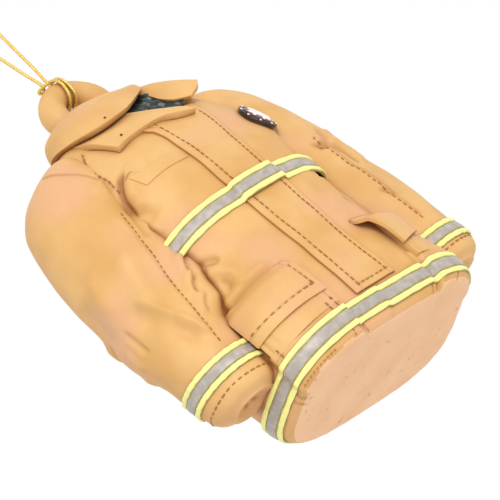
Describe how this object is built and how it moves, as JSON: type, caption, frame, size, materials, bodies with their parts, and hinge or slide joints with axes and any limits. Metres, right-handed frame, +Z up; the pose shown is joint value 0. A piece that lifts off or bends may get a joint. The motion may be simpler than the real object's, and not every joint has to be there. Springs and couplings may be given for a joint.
{
  "type": "turnout coat ornament",
  "caption": "Small painted resin ornament in the form of a firefighter's turnout coat, with reflective bands, cargo pockets and collar, hung by a gold cord through a ring behind the collar.",
  "frame": {"origin": "the point where the top of the cord's loop rests on the hook that holds it, the mount loop_top", "axes": "+Z up along the hanging cord, -Y towards the coat's front, +X towards its wearer's left"},
  "size_m": [0.0768, 0.0343, 0.1376],
  "materials": {
    "painted_resin": "cast polyester resin, hand painted tan in satin acrylic with a brown wash in its creases",
    "band_yellow": "pale lime-yellow satin paint with olive edges",
    "band_silver": "silver-grey satin paint",
    "lining_paint": "near-black satin paint",
    "badge_enamel": "glossy dark red and black paint with white shapes",
    "gold_cord": "twisted gold metallic thread"
  },
  "bodies": {
    "loop_knot": {"cord_knot": "gold_cord"},
    "cord_loop": {"cord_strand_right": "gold_cord", "cord_strand_left": "gold_cord"},
    "hitch": {"cord_hitch": "gold_cord"},
    "coat": {"torso": "painted_resin", "sleeve_right": "painted_resin", "cuff_right": "painted_resin", "sleeve_band_right_yellow_upper": "band_yellow", "sleeve_band_right_silver": "band_silver", "sleeve_band_right_yellow_lower": "band_yellow", "pocket_right": "painted_resin", "pocket_flap_right": "painted_resin", "sleeve_left": "painted_resin", "cuff_left": "painted_resin", "sleeve_band_left_yellow_upper": "band_yellow", "sleeve_band_left_silver": "band_silver", "sleeve_band_left_yellow_lower": "band_yellow", "pocket_left": "painted_resin", "pocket_flap_left": "painted_resin", "hem_band_yellow_upper": "band_yellow", "hem_band_silver": "band_silver", "hem_band_yellow_lower": "band_yellow", "chest_band_yellow_upper": "band_yellow", "chest_band_silver": "band_silver", "chest_band_yellow_lower": "band_yellow", "storm_flap": "painted_resin", "name_tab": "painted_resin", "badge": "badge_enamel", "collar_stand": "painted_resin", "neck_lining": "lining_paint", "collar_leaf_right": "painted_resin", "collar_leaf_left": "painted_resin", "collar_back": "painted_resin", "hanging_ring": "painted_resin"}
  },
  "joints": [
    {"name": "cord_twist", "type": "hinge", "parent": "loop_knot", "child": "cord_loop", "pos_m": [0, 0, 0], "axis": [0, 0, 1], "range_deg": [-180, 180]},
    {"name": "coat_swing", "type": "hinge", "parent": "cord_loop", "child": "hitch", "pos_m": [0, 0, -0.0478], "axis": [1, 0, 0], "range_deg": [-60, 60]},
    {"name": "coat_sway", "type": "hinge", "parent": "hitch", "child": "coat", "pos_m": [0, 0, -0.0536], "axis": [0, 1, 0], "range_deg": [-35, 35]}
  ]
}
